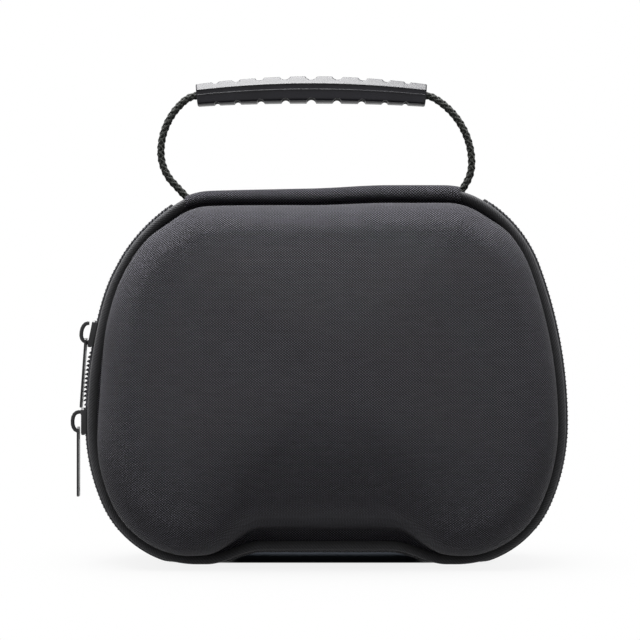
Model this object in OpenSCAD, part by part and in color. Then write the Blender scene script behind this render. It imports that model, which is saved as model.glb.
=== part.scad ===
// Carrying case for one game controller: a moulded clamshell that stands on its lower edge.
// X is the width, the lid faces -Y and Z is up. The origin is on the ground, under the middle of
// the whole width, sliders included.

/* [Case] */
// Width over the zip coil
case_w = 190; // [180:1:200]
// Height from the ground to the top of the spine
case_h = 148; // [143:1:153]
// Depth over both domes
case_d = 75; // [66:1:86]
// Height of the widest place
widest_z = 55; // [52:1:58]

/* [Outline] */
// Radius of the long side above the widest place
side_r = 180; // [165:5:220]
// Radius of the shoulder
shoulder_r = 51; // [46:1:56]
// Radius of the corner that runs into the spine
top_r = 30; // [28:1:34]
// How far the shoulder turns before that corner, in degrees
shoulder_turn = 62; // [58:1:66]
// Radius of the flank below the widest place
flank_r = 80; // [72:1:90]
// Radius of the lower corner
corner_r = 41; // [38:1:43]
// Flat stretch that the case stands on, beside each lower corner
foot_run = 3.8; // [2:0.2:8]
// Length of the slope from that stretch to the flat top of the arch
arch_run = 22; // [18:1:26]
// Rise of the arch at the rim
arch_rim = 5.5; // [3:0.5:8]
// Rise of the arch at the dome
arch_dome = 9.4; // [8:0.2:11]

/* [Shell] */
// Half of the gap between the two rims
rim_gap = 5; // [4.5:0.1:6]
// Width of the rim, across the gap
rim_w = 4; // [3:0.1:5]
// How far the rim stands inside the line of the coil, beyond the binding and the tape
rim_inset = 2.8; // [2.6:0.1:3.2]
// How far the face of the rim reaches in from its edge
rim_face = 2.4; // [2.2:0.1:3.4]
// Width of the crease between the rim and the dome
crease_w = 0.8; // [0.8:0.1:1.4]
// Depth of the crease between the rim and the dome
crease = 0.9; // [0.4:0.1:1.4]
// Thickness of the moulded wall
wall = 3; // [2.4:0.1:3.4]
// How much the wall of the dome leans in
draft = 0.3; // [0:0.1:4]
// Radius of the edge of the dome
dome_r = 14; // [10:0.5:16]
// Height of the crown in the middle of the dome
crown = 4; // [2:0.5:6]

/* [Binding and tape] */
// Thickness of the binding
binding_t = 0.8; // [0.6:0.1:1]
// Thickness of the zip tape
tape_t = 0.6; // [0.4:0.05:0.7]
// Where the edge of each tape stands from the middle of the zip
tape_edge = 0.9; // [0.9:0.1:1.2]
// How far down the top corner each end of the zip lies
zip_in = 18; // [17:0.5:20]
// How far the spine reaches into each top corner
spine_over = 4.1; // [1:0.1:4.4]

/* [Zip] */
// Distance from one tooth to the next on one tape
tooth_pitch = 1.7; // [1.6:0.1:2.4]
// Length of a tooth along the zip
tooth_l = 0.75; // [0.6:0.05:0.8]
// How far a tooth reaches over the middle of the zip
tooth_reach = 0.4; // [0.3:0.05:0.5]
// How far a tooth stands back from the middle where the zip is open
tooth_back = 1; // [0.9:0.05:1.2]
// Width of the cord of the coil under the teeth
coil_w = 2.1; // [1.8:0.1:2.3]
// Thickness of the coil
coil_t = 2.2; // [2:0.05:2.4]
// How far the teeth stand out of the cord
tooth_h = 0.9; // [0.6:0.05:1.2]

/* [Sliders] */
// Length of a slider
slider_l = 10.7; // [9:0.1:12]
// Width of a slider
slider_w = 8.6; // [8:0.1:9.4]
// Thickness of the plates of a slider
slider_t = 1.2; // [1:0.05:1.4]
// Clearance between a slider and the zip
slide_gap = 0.35; // [0.25:0.05:0.4]
// Length of the bridge on a slider
bridge_l = 9; // [8:0.1:9.5]
// Height of the bridge over the plate
bridge_h = 4; // [3.6:0.1:4.6]
// Thickness of the bridge
bridge_t = 1.15; // [1:0.05:1.3]
// Length of a pull
pull_l = 27.5; // [20:0.5:28]
// Width of a pull
pull_w = 5.6; // [5:0.1:6.5]
// Thickness of a pull
pull_t = 0.8; // [0.6:0.05:1]
// Height of the upper slider
upper_z = 90; // [89.5:0.5:93]
// Height of the lower slider
lower_z = 55.6; // [53:0.1:55.6]
// How far the upper pull leans out from plumb, in degrees
upper_lean = 4; // [3:0.5:5]

/* [Handle] */
// Thickness of the rope
rope_d = 3.2; // [2.8:0.1:3.6]
// How far into the top corners the ends of the rope stand
rope_in = 12.1; // [11.8:0.1:13]
// Height of the swing axis over the spine
swing_h = 1.8; // [1.7:0.1:2.4]
// Height of the middle of the grip over the swing axis
grip_h = 36.6; // [34:0.2:40]
// Length of the grip
grip_l = 90.5; // [84:0.5:94]
// How far the grip sits to the left of the middle
grip_shift = 6; // [0:0.5:7]
// Radius to which the grip is bent
grip_bend = 465; // [420:5:600]
// Height of the grip in its middle
grip_t = 10.3; // [9.5:0.1:11.5]
// Height of the grip at its ends
grip_end_t = 8.5; // [8:0.1:9]
// Depth of the largest notch in the grip
notch = 1.4; // [1:0.1:1.6]
// Number of notches on each side of the grip
notches = 9; // [7:2:11]

/* [Inside] */
// Height of the mesh pocket
pocket_h = 88; // [70:1:100]
// Thickness of the mesh
mesh_t = 0.6; // [0.5:0.1:1]
// Width of the elastic edge of the pocket
elastic_w = 8; // [6:0.5:12]
// Width of the strap that holds the controller
strap_w = 22; // [16:1:30]
// Thickness of the strap
strap_t = 1.2; // [1:0.1:1.6]
// Distance between the sewn ends of the strap
strap_l = 92; // [80:1:100]
// How far the strap stands off the floor of the back shell
strap_rise = 14; // [8:1:18]

/* [Hidden] */

// Clearance between soft pieces that belong to different halves
soft_gap = 0.3;
spine_t = 1;
binding_out = rim_inset - tape_t - binding_t;
face_in = rim_inset + rim_face;
rim_top = rim_gap + rim_w;

// The sliders stand out on the left, so the whole is moved to the right by half of that
module centred() {
  translate([(slide_gap + slider_t + bridge_h) / 2, 0, 0])
    children();
}

// The line of the coil: tangent arcs from the ground up to the spine
low = -binding_out;
high = case_h - spine_t - soft_gap + binding_out;
half = case_w / 2;
side_turn = asin((high - widest_z - top_r - (shoulder_r - top_r) * sin(shoulder_turn))
  / (side_r - shoulder_r));
flank_turn = asin((widest_z - low - corner_r) / (flank_r - corner_r));
side_c = [half - side_r, widest_z];
shoulder_c = side_c + (side_r - shoulder_r) * [cos(side_turn), sin(side_turn)];
top_c = shoulder_c + (shoulder_r - top_r) * [cos(shoulder_turn), sin(shoulder_turn)];
flank_c = [half - flank_r, widest_z];
corner_c = flank_c + (flank_r - corner_r) * [cos(flank_turn), -sin(flank_turn)];
arch_foot = corner_c.x - foot_run;
arch_flat = arch_foot - arch_run;
zip_end = top_c.x + zip_in;
spine_l = 2 * (top_c.x + spine_over);

// Points on an arc without its first one
function arc(c, r, from, to, n) =
  [for (i = [1 : n]) c + r * [cos(from + (to - from) * i / n), sin(from + (to - from) * i / n)]];

// How high the arch under the case stands at x, as a share of its rise
function arch_share(x) = x <= arch_flat ? 1 : x >= arch_foot ? 0
  : 0.5 + 0.5 * cos(180 * (x - arch_flat) / (arch_foot - arch_flat));

// Right half of the outline, from under the middle to the top, set in from the line of the coil
function right_half(inset, arch) = concat(
  [[0, low + inset + arch]],
  [for (i = [0 : 6]) let (x = arch_flat + (arch_foot - arch_flat) * i / 6)
    [x, low + inset + arch * arch_share(x)]],
  [[corner_c.x, low + inset]],
  arc(corner_c, corner_r - inset, -90, -flank_turn, 8),
  arc(flank_c, flank_r - inset, -flank_turn, 0, 3),
  arc(side_c, side_r - inset, 0, side_turn, 5),
  arc(shoulder_c, shoulder_r - inset, side_turn, shoulder_turn, 7),
  arc(top_c, top_r - inset, shoulder_turn, 90, 4));

// The whole outline, anticlockwise as seen from the front
function outline(inset, arch) = let (r = right_half(inset, arch), n = len(r))
  concat(r, [for (i = [1 : n - 1]) [-r[n - i].x, r[n - i].y]]);

// A flat band along the outline: from t0 to t1 in front of the middle, between two insets
module band(t0, t1, in0, in1) {
  translate([0, -t0, 0])
    rotate([90, 0, 0])
      linear_extrude(t1 - t0)
        difference() {
          polygon(outline(in0, arch_rim));
          polygon(outline(in1, arch_rim));
        }
}

// The section of a shell, as [inset, rise of the arch, distance from the middle, scale]
dome_t = case_d / 2;
dome_in = face_in + crease_w;
fillet_in = dome_in + draft;
edge_t = dome_t - crown;
inner_r = dome_r - wall;
inner_edge_t = edge_t - wall;
// How far the inner wall stands inside the line of the coil at distance t from the middle
function inner_inset(t) = dome_in + wall
  + draft * (t - rim_gap) / (inner_edge_t - inner_r - rim_gap);
inner_scales = [0.3, 0.6];
outer_scales = [0.8, 0.5, 0.2];
function crown_at(s) = crown * (1 - s * s);
function fillet(inset, t, r, n, from, to) = [for (i = [0 : n])
  let (a = from + (to - from) * i / n) [inset + r * (1 - cos(a)), arch_dome, t + r * sin(a), 1]];
function reversed(v) = [for (i = [len(v) - 1 : -1 : 0]) v[i]];
inner_fillet = fillet(fillet_in + wall, inner_edge_t - inner_r, inner_r, 4, 0, 90);
outer_fillet = fillet(fillet_in, edge_t - dome_r, dome_r, 6, 0, 86);
shell_rings = concat(
  [for (s = inner_scales)
    [fillet_in + wall + inner_r, arch_dome, inner_edge_t + crown_at(s), s]],
  reversed(inner_fillet),
  [[dome_in + wall, arch_dome, rim_gap, 1],
   [rim_inset, arch_rim, rim_gap, 1],
   [rim_inset, arch_rim, rim_top, 1],
   [face_in, arch_rim, rim_top, 1],
   [face_in + 0.2, arch_rim, rim_top - crease, 1],
   [dome_in - 0.45, arch_dome, rim_top - crease, 1],
   [dome_in - 0.2, arch_dome, rim_top + 0.1, 1],
   [dome_in, arch_dome, rim_top + 1.4, 1]],
  outer_fillet,
  [for (s = outer_scales)
    [fillet_in + dome_r, arch_dome, edge_t + crown_at(s), s]]);
mid_z = (low + high + arch_dome) / 2;

// One moulded half with its rim, crease, leaning wall, rounded edge and crown
module shell() {
  rings = len(shell_rings);
  count = len(outline(0, 0));
  points = concat(
    [for (r = shell_rings) for (p = outline(r[0], r[1]))
      [p.x * r[3], -r[2], mid_z + (p.y - mid_z) * r[3]]],
    [[0, -(inner_edge_t + crown), mid_z], [0, -dome_t, mid_z]]);
  inner_mid = rings * count;
  outer_mid = inner_mid + 1;
  walls = [for (k = [0 : rings - 2]) for (i = [0 : count - 1])
    let (j = (i + 1) % count, a = k * count, b = a + count)
      each [[a + i, b + i, b + j], [a + i, b + j, a + j]]];
  last = (rings - 1) * count;
  caps = [for (i = [0 : count - 1]) let (j = (i + 1) % count)
    each [[inner_mid, i, j], [outer_mid, last + j, last + i]]];
  polyhedron(points, concat(walls, caps), convexity = 10);
}

// Bound edge: a strip round the rim and a lip on its face, stepped where the fold is round
module binding() {
  band(rim_gap, rim_top + binding_t / 2, binding_out, rim_inset - tape_t);
  band(rim_top, rim_top + binding_t, binding_out + binding_t / 2, face_in);
}

// Tape of the zip: sewn under the binding all round, and reaching to the coil except at the spine
module zip_tape() {
  difference() {
    band(tape_edge, rim_top, rim_inset - tape_t, rim_inset);
    translate([-zip_end, -rim_gap, widest_z])
      cube([2 * zip_end, rim_gap, case_h]);
  }
}

// The zip's path, halfway through the coil, as a length measured from under the middle
path = right_half(coil_t / 2, arch_rim);
function step_sum(i) = i == 0 ? 0 : step_sum(i - 1) + norm(path[i] - path[i - 1]);
path_s = [for (i = [0 : len(path) - 1]) step_sum(i)];
path_x = [for (i = [0 : len(path) - 1]) [path_s[i], path[i].x]];
path_z = [for (i = [0 : len(path) - 1]) [path_s[i], path[i].y]];
top_x = [for (i = [0 : len(path) - 1]) if (path[i].y > widest_z) [-path[i].x, path_s[i]]];
s_end = lookup(-zip_end - 1, top_x);
function on_path(s) = [sign(s) * lookup(abs(s), path_x), lookup(abs(s), path_z)];
function path_turn(s) = let (d = on_path(s + 2) - on_path(s - 2)) atan2(d.y, d.x);

// Where the sliders part the teeth, on the left side
neck = 0.5;
upper_a = asin((upper_z - widest_z) / side_r);
upper_run = side_turn - upper_a - 0.6;
lower_a = asin((lower_z - widest_z) / flank_r);
lower_run = 18;
run_top = widest_z + side_r * sin(upper_a + upper_run) + slider_l / 2;
run_low = widest_z - flank_r * sin(lower_run - lower_a) - slider_l / 2;
function tooth_start(p) = p.x > 0 || p.y > run_top || p.y < run_low ? -tooth_reach
  : p.y > lower_z - slider_l / 2 + 2 && p.y < upper_z + slider_l / 2 - 2 ? tooth_back
  : neck + 0.15;

// Row of teeth on its cord, flattened where the case stands on it
tooth_in = 0.12;
module coil(shift) {
  count = floor(s_end / tooth_pitch);
  intersection() {
    union() {
      difference() {
        band(tape_edge, tape_edge + coil_w, tooth_h, coil_t);
        translate([-zip_end - 1, -case_d, widest_z])
          cube([2 * zip_end + 2, 2 * case_d, case_h]);
      }
      for (i = [-count : count - 1]) {
        s = (i + shift) * tooth_pitch;
        p = on_path(s);
        start = tooth_start(p);
        translate([p.x, -start, p.y])
          rotate([0, -path_turn(s), 0])
            translate([-tooth_l / 2, start - tape_edge - coil_w + 0.3, -coil_t / 2])
              cube([tooth_l, tape_edge + coil_w - 0.3 - start, coil_t - tooth_in]);
      }
    }
    translate([-case_w, -case_d, soft_gap])
      cube([2 * case_w, 2 * case_d, case_h]);
  }
}

// Clamp at each end of one row of teeth
module zip_stops() {
  for (side = [-1, 1]) {
    s = side * (s_end + 1.6);
    p = on_path(s);
    translate([p.x, -tape_edge, p.y])
      rotate([0, -path_turn(s), 0])
        translate([-1, -coil_w, -coil_t / 2])
          cube([2, coil_w, coil_t]);
  }
}

module front_shell() {
  color("#33333a") centred() shell();
}

module back_shell() {
  color("#33333a") centred() mirror([0, 1, 0]) shell();
}

module front_binding() {
  color("#242427") centred() binding();
}

module back_binding() {
  color("#242427") centred() mirror([0, 1, 0]) binding();
}

module front_zip_tape() {
  color("#1b1b1e") centred() zip_tape();
}

module back_zip_tape() {
  color("#1b1b1e") centred() mirror([0, 1, 0]) zip_tape();
}

module front_coil() {
  color("#151517") centred() coil(0);
}

module back_coil() {
  color("#151517") centred() mirror([0, 1, 0]) coil(0.5);
}

module front_zip_stops() {
  color("#101012") centred() zip_stops();
}

module back_zip_stops() {
  color("#101012") centred() mirror([0, 1, 0]) zip_stops();
}

// Fabric hinge: a band that arches over both rims, with a lip down each face
spine_r = 2;
module spine() {
  reach = rim_top + binding_t + soft_gap;
  under = case_h - spine_t;
  lip = high - dome_in + 1;
  bends = 5;
  outer = [for (i = [0 : bends]) let (a = 90 * i / bends)
    [reach + spine_t - spine_r + spine_r * cos(a), case_h - spine_r + spine_r * sin(a)]];
  inner_r = spine_r - spine_t;
  inner = [for (i = [bends : -1 : 0]) let (a = 90 * i / bends)
    [reach - inner_r + inner_r * cos(a), under - inner_r + inner_r * sin(a)]];
  front = concat([[reach + spine_t, lip]], outer);
  back = concat([for (q = reversed(outer)) [-q.x, q.y]], [[-reach - spine_t, lip]]);
  under_back = concat([[-reach, lip]], [for (q = reversed(inner)) [-q.x, q.y]]);
  color("#2b2b30") centred()
    translate([-spine_l / 2, 0, 0])
      rotate([90, 0, 90])
        linear_extrude(spine_l)
          polygon(concat(front, back, under_back, inner, [[reach, lip]]));
}

// Tape inside that covers the seam of the spine
module inner_hinge_tape() {
  roof = high - inner_inset(rim_top);
  color("#1d1d20") centred()
    translate([-top_c.x + 2, -rim_top, roof - soft_gap - tape_t])
      cube([2 * top_c.x - 4, 2 * rim_top, tape_t]);
}

// The handle, in its plane: the rope leaves the seam, bows out and enters the grip
swing_z = case_h + swing_h;
grip_c = [-grip_shift, swing_z + grip_h - grip_bend];
grip_turn = grip_l / 2 / grip_bend * 180 / PI;
rope_mid = -2.6;
left_end = [rope_mid - top_c.x - rope_in, swing_z];
right_end = [rope_mid + top_c.x + rope_in - 0.2, swing_z];
// How far the rope bows out beyond its end on each side, and the height of that place
left_bow = [4.8, 12.2];
right_bow = [2.1, 7.7];
stub_l = 2.1;
// Radius of the bend where the rope leaves the grip
mouth_r = 9;
function bow_r(d) = (d.x * d.x + d.y * d.y) / (2 * abs(d.x));

// Stations on a bend of the rope: place in the plane, and direction of the outer side
function bend(c, r, from, to, n) = [for (i = [1 : n]) let (a = from + (to - from) * i / n)
  [c.x + r * cos(a), c.y + r * sin(a), a]];

// One side of the rope: side is 1 on the right and -1 on the left. It leaves the grip in line
// with it, bends down through two arcs that meet in one tangent, and bows in again to its end
function rope_side(side, end, bow) = let (
  p = [side * end.x + bow.x, end.y + bow.y],
  mouth_c = [side * grip_c.x + (grip_bend - mouth_r) * sin(grip_turn),
    grip_c.y + (grip_bend - mouth_r) * cos(grip_turn)],
  d = p - mouth_c,
  up_r = (d * d - mouth_r * mouth_r) / (2 * (d.x - mouth_r)),
  up_turn = atan2(-d.y, up_r - d.x),
  low_r = bow_r(bow),
  low_turn = asin(bow.y / low_r))
  concat(bend(mouth_c, mouth_r, 90 - grip_turn, up_turn, 3),
    bend([p.x - up_r, p.y], up_r, up_turn, 0, 10),
    bend([p.x - low_r, p.y], low_r, 0, -low_turn, 5),
    [[side * end.x - stub_l * sin(low_turn), end.y - stub_l * cos(low_turn), -low_turn]]);
rope_path = concat(
  [for (q = reversed(rope_side(-1, left_end, left_bow))) [-q[0], q[1], 180 - q[2]]],
  bend(grip_c, grip_bend, 90 + grip_turn, 90 - grip_turn, 12),
  rope_side(1, right_end, right_bow));

module handle_rope() {
  strands = 16;
  points = [for (q = rope_path) for (i = [0 : strands - 1])
    let (a = 360 * i / strands, r = rope_d / 2 * cos(a))
      [q[0] + r * cos(q[2]), rope_d / 2 * sin(a), q[1] + r * sin(q[2])]];
  last = (len(rope_path) - 1) * strands;
  walls = [for (k = [0 : len(rope_path) - 2]) for (i = [0 : strands - 1])
    let (j = (i + 1) % strands, a = k * strands, b = a + strands)
      each [[a + i, b + i, b + j], [a + i, b + j, a + j]]];
  color("#3a3a3e") centred()
    polyhedron(points, concat([[for (i = [0 : strands - 1]) i]], walls,
      [[for (i = [strands - 1 : -1 : 0]) last + i]]), convexity = 6);
}

// Rubber grip: a bent bar, thickest in its middle, with a wide bevel above, a lip and a fine rib
// along each side, and round notches above and below. One side of its section, from the top
// round to the bottom, as shares of half its width and half its height
grip_w = 12;
grip_side = [[0.36, 1], [0.92, 0.52], [1, 0.43], [0.92, 0.33], [0.94, 0.2], [1, 0.14],
  [0.94, 0.08], [0.92, -0.5], [0.78, -0.66], [0.44, -0.95], [0.3, -1]];
grip_section = concat([for (q = reversed(grip_side)) q],
  [for (q = grip_side) [-q.x, q.y]]);
stations = 20;
spokes = len(grip_section);
function grip_u(k) = k == 0 ? -1 : k == stations ? 1 : 0.99 * (2 * (k - 1) / (stations - 2) - 1);
function grip_half(u) = (grip_end_t + (grip_t - grip_end_t) * cos(90 * u)) / 2
  * (abs(u) == 1 ? 0.95 : 1);
function grip_point(u, i) =
  let (h = grip_half(u), r = grip_bend + h * grip_section[i].y, turn = 90 - u * grip_turn)
  [grip_c.x + r * cos(turn), grip_section[i].x * grip_w / grip_t * h,
    grip_c.y + r * sin(turn)];

module grip_body() {
  last = stations * spokes;
  points = [for (k = [0 : stations]) for (i = [0 : spokes - 1])
    grip_point(grip_u(k), i)];
  walls = [for (k = [0 : stations - 1]) for (i = [0 : spokes - 1])
    let (j = (i + 1) % spokes, a = k * spokes, b = a + spokes)
      each [[a + i, b + j, b + i], [a + i, a + j, b + j]]];
  polyhedron(points, concat([[for (i = [spokes - 1 : -1 : 0]) i]], walls,
    [[for (i = [0 : spokes - 1]) last + i]]), convexity = 6);
}

// Where notch i lies along the grip, counted from its middle
function notch_at(i) = grip_l * (0.1138 * i - 0.00063 * i * i * i) * 9 / notches;

module handle_grip() {
  color("#2e2d33") centred()
    difference() {
      grip_body();
      translate([grip_c.x, 0, grip_c.y])
        rotate([90, 0, 0])
          rotate([0, 0, 90 - grip_turn - 1])
            rotate_extrude(angle = 2 * grip_turn + 2, $fn = 96)
              translate([grip_bend, 0])
                circle(d = rope_d + 0.1, $fn = 32);
      for (i = [-(notches - 1) / 2 : (notches - 1) / 2]) {
        at = notch_at(i);
        share = 1 - 0.45 * abs(i) / ((notches - 1) / 2);
        h = grip_half(2 * at / grip_l);
        notch_cut(at, grip_bend + h + 0.9 * notch * share, 1.9 * notch * share);
        notch_cut(at, grip_bend - h - 0.12, 1.35 * notch * share);
      }
    }
}

// Cutter across the grip for one notch, its axis at radius r on the grip's bend
module notch_cut(at, r, radius) {
  turn = 90 - at / grip_bend * 180 / PI;
  translate([grip_c.x + r * cos(turn), 0, grip_c.y + r * sin(turn)])
    rotate([90, 0, 0])
      cylinder(r = radius, h = 2 * grip_w, center = true, $fn = 48);
}

// Sewn block in the seam that holds one end of the rope
tack_l = 7;
tack_h = 5;
// How far the middle of the block lies inwards of the cut end of the rope
tack_shift = 0.8;
module bar_tack(side, end, bow) {
  low_turn = asin(bow.y / bow_r(bow));
  x = end.x - side * (stub_l * sin(low_turn) + tack_shift);
  top = end.y - stub_l * cos(low_turn) - rope_d / 2 * sin(low_turn) - soft_gap;
  translate([x - tack_l / 2, -rim_gap + soft_gap, top - tack_h])
    cube([tack_l, 2 * rim_gap - soft_gap, tack_h]);
}

module left_bar_tack() {
  color("#1a1a1c") centred() bar_tack(-1, left_end, left_bow);
}

module right_bar_tack() {
  color("#1a1a1c") centred() bar_tack(1, right_end, right_bow);
}

// Sliders: -X is outwards from the coil and Z runs along it; the divider is at the lower end
bridge_w = 1.6;
plate_out = slide_gap + slider_t;
plate_in = coil_t + tape_t + slide_gap;
bar_gap = 0.2;
pivot_out = plate_out + (bridge_h - bridge_t) / 2;
pivot_u = -(bridge_l / 2 - bridge_t - 0.5 - bar_gap);

module rounded(w, h, r) {
  square([w, h - 2 * r], center = true);
  square([w - 2 * r, h], center = true);
  for (x = [-1, 1])
    for (y = [-1, 1])
      translate([x * (w / 2 - r), y * (h / 2 - r)])
        circle(r = r, $fn = 32);
}

module slider_plate(t) {
  rotate([90, 0, 90])
    linear_extrude(t)
      polygon([[-slider_w / 2, -slider_l / 2 + 1.6], [-slider_w / 2 + 1.2, -slider_l / 2],
        [slider_w / 2 - 1.2, -slider_l / 2], [slider_w / 2, -slider_l / 2 + 1.6],
        [slider_w / 2, 0], [slider_w / 2 - 1, slider_l / 2 - 1.4],
        [slider_w / 2 - 2.2, slider_l / 2], [-slider_w / 2 + 2.2, slider_l / 2],
        [-slider_w / 2 + 1, slider_l / 2 - 1.4], [-slider_w / 2, 0]]);
}

module slider() {
  flange = 0.9;
  translate([-plate_out, 0, 0])
    slider_plate(slider_t);
  translate([plate_in, 0, 0])
    slider_plate(slider_t);
  for (side = [-1, 1])
    translate([-slide_gap, side * (slider_w / 2 - flange / 2) - flange / 2, -slider_l / 2 + 1.6])
      cube([slide_gap + coil_t - tape_t - slide_gap, flange, slider_l / 2 - 1.6]);
  translate([-slide_gap, -neck, -slider_l / 2 + 0.6])
    cube([slide_gap + plate_in, 2 * neck, 2.6]);
  translate([-plate_out - bridge_h / 2 + 0.3, bridge_w / 2, 0])
    rotate([90, 0, 0])
      linear_extrude(bridge_w)
        difference() {
          rounded(bridge_h + 0.6, bridge_l, 1.5);
          rounded(bridge_h + 0.6 - 2 * bridge_t, bridge_l - 2 * bridge_t, 0.7);
          translate([0, bridge_l / 2 - 0.9])
            square([1.1, 3], center = true);
        }
}

// Flat pull with its eye round the bridge, hanging from its cross bar
eye_l = 4.5;
module pull() {
  rotate([90, 0, 90])
    translate([0, 0, -pull_t / 2])
      linear_extrude(pull_t)
        difference() {
          union() {
            translate([0, 0.5 - pull_l / 2])
              rounded(pull_w, pull_l, 1.2);
          }
          translate([0, -(0.5 + eye_l) / 2])
            square([bridge_w + 0.7, eye_l - 0.5], center = true);
          translate([0, 3.4 - pull_l])
            circle(d = 1.6, $fn = 24);
        }
}

// Places a slider on its arc of the left side, turned up by a from level
module on_left(c, r, a) {
  translate([-c.x, 0, c.y])
    rotate([0, a, 0])
      translate([-r, 0, 0])
        children();
}

module upper_slider() {
  color("#0d0d0f") centred()
    on_left(side_c, side_r, upper_a)
      slider();
}

module lower_slider() {
  color("#0d0d0f") centred()
    on_left(flank_c, flank_r, lower_a)
      mirror([0, 0, 1])
        slider();
}

module upper_pull() {
  color("#0d0d0f") centred()
    on_left(side_c, side_r, upper_a)
      translate([-pivot_out, 0, pivot_u])
        rotate([0, upper_lean - upper_a, 0])
          pull();
}

module lower_pull() {
  color("#0d0d0f") centred()
    on_left(flank_c, flank_r, lower_a)
      translate([-pivot_out, 0, pivot_u])
        rotate([0, -lower_a, 0])
          pull();
}

// Mesh pocket in the lid, below its elastic edge
pocket_t = rim_gap + 1.2;
pocket_in = inner_inset(pocket_t + 0.9) + 0.2;
module pocket_part(z0, z1, t0, t1) {
  translate([0, -t0, 0])
    rotate([90, 0, 0])
      linear_extrude(t1 - t0)
        intersection() {
          polygon(outline(pocket_in, arch_dome));
          translate([-case_w / 2, z0])
            square([case_w, z1 - z0]);
        }
}

module mesh_pocket() {
  color("#1f1f23") centred() pocket_part(0, pocket_h, pocket_t, pocket_t + mesh_t);
}

module pocket_elastic() {
  color("#141416") centred()
    pocket_part(pocket_h, pocket_h + elastic_w, pocket_t - 0.3, pocket_t + 0.9);
}

// Strap across the back shell, sewn down on two patches
patch_w = 14;
patch_t = 1;
function floor_t(x) = lookup(x / (half - fillet_in - wall - inner_r),
  [[0, inner_edge_t + crown], [0.3, inner_edge_t + crown_at(0.3)],
   [0.6, inner_edge_t + crown_at(0.6)], [1, inner_edge_t]]);
patch_floor = floor_t(strap_l / 2 + patch_w / 2) - 0.5;

module strap_patch(side) {
  translate([side * strap_l / 2 - patch_w / 2, patch_floor - patch_t, mid_z - strap_w / 2 - 2])
    cube([patch_w, patch_t, strap_w + 4]);
}

module left_strap_patch() {
  color("#18181a") centred() strap_patch(-1);
}

module right_strap_patch() {
  color("#18181a") centred() strap_patch(1);
}

module controller_strap() {
  foot = patch_floor - patch_t;
  top = foot - strap_rise;
  out = strap_l / 2 + patch_w / 2 - 1;
  bend = strap_l / 2 - patch_w / 2;
  color("#18181a") centred()
    translate([0, 0, mid_z - strap_w / 2])
      linear_extrude(strap_w)
        polygon([[-out, foot], [-bend, foot], [-bend + strap_rise, top + strap_t],
          [bend - strap_rise, top + strap_t], [bend, foot], [out, foot],
          [out, foot - strap_t], [bend - 0.5, foot - strap_t],
          [bend - strap_rise - 0.5, top], [-bend + strap_rise + 0.5, top],
          [-bend + 0.5, foot - strap_t], [-out, foot - strap_t]]);
}

back_shell();
back_binding();
back_zip_tape();
back_coil();
back_zip_stops();
spine();
inner_hinge_tape();
left_bar_tack();
right_bar_tack();
controller_strap();
left_strap_patch();
right_strap_patch();
front_shell();
front_binding();
front_zip_tape();
front_coil();
front_zip_stops();
mesh_pocket();
pocket_elastic();
handle_rope();
handle_grip();
upper_slider();
upper_pull();
lower_slider();
lower_pull();
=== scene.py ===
import math

import bmesh
import bpy
from mathutils import Matrix, Vector
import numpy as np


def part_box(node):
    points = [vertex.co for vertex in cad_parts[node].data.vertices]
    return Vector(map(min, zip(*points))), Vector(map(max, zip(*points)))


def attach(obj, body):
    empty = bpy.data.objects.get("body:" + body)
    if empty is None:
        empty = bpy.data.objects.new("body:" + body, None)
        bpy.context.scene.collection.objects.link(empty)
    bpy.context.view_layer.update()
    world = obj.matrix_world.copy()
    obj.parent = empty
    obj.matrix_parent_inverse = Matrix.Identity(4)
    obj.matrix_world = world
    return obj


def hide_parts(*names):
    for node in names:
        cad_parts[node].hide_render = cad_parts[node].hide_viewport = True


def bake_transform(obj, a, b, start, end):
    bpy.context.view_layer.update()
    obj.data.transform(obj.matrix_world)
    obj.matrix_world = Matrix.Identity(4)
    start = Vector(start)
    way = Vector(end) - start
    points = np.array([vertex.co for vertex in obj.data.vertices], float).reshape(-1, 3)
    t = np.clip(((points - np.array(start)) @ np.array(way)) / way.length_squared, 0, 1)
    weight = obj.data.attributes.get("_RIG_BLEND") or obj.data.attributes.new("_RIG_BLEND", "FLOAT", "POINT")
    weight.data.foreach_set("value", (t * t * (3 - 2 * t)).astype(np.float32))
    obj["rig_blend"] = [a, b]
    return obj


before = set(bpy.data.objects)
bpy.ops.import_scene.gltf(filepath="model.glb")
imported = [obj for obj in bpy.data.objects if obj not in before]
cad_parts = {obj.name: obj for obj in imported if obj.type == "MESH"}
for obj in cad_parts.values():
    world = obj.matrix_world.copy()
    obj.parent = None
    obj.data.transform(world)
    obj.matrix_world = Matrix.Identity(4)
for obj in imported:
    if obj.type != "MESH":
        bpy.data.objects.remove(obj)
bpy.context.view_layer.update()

# Camera
# The case was photographed square from the front, from a little under a metre, with the camera
# level with the middle of the picture.
picture_x, picture_z, picture_width, distance, sensor = 0.0002, 0.0956, 0.2528, 0.86, 36
camera_data = bpy.data.cameras.new("camera")
camera_data.sensor_width = sensor
camera_data.lens = sensor * distance / picture_width
camera = bpy.data.objects.new("camera", camera_data)
camera.matrix_world = (Matrix.Translation((picture_x, -distance, picture_z))
                       @ Matrix.Rotation(math.radians(90), 4, "X"))
bpy.context.scene.collection.objects.link(camera)
bpy.context.scene.camera = camera
bpy.context.scene.view_settings.view_transform = "Standard"

# Floor, backdrop and lamps
# A pale floor that runs out into a white studio: the floor keeps the shadow of the case close by,
# and further off it is as white as the backdrop. Soft light comes from above and from the front.
def ink(red, green, blue):
    """A colour as it is read off a screen, from 0 to 255, for a shader's socket"""
    return [c / 255 / 12.92 if c < 10.3 else ((c / 255 + 0.055) / 1.055) ** 2.4
            for c in (red, green, blue)] + [1]


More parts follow.
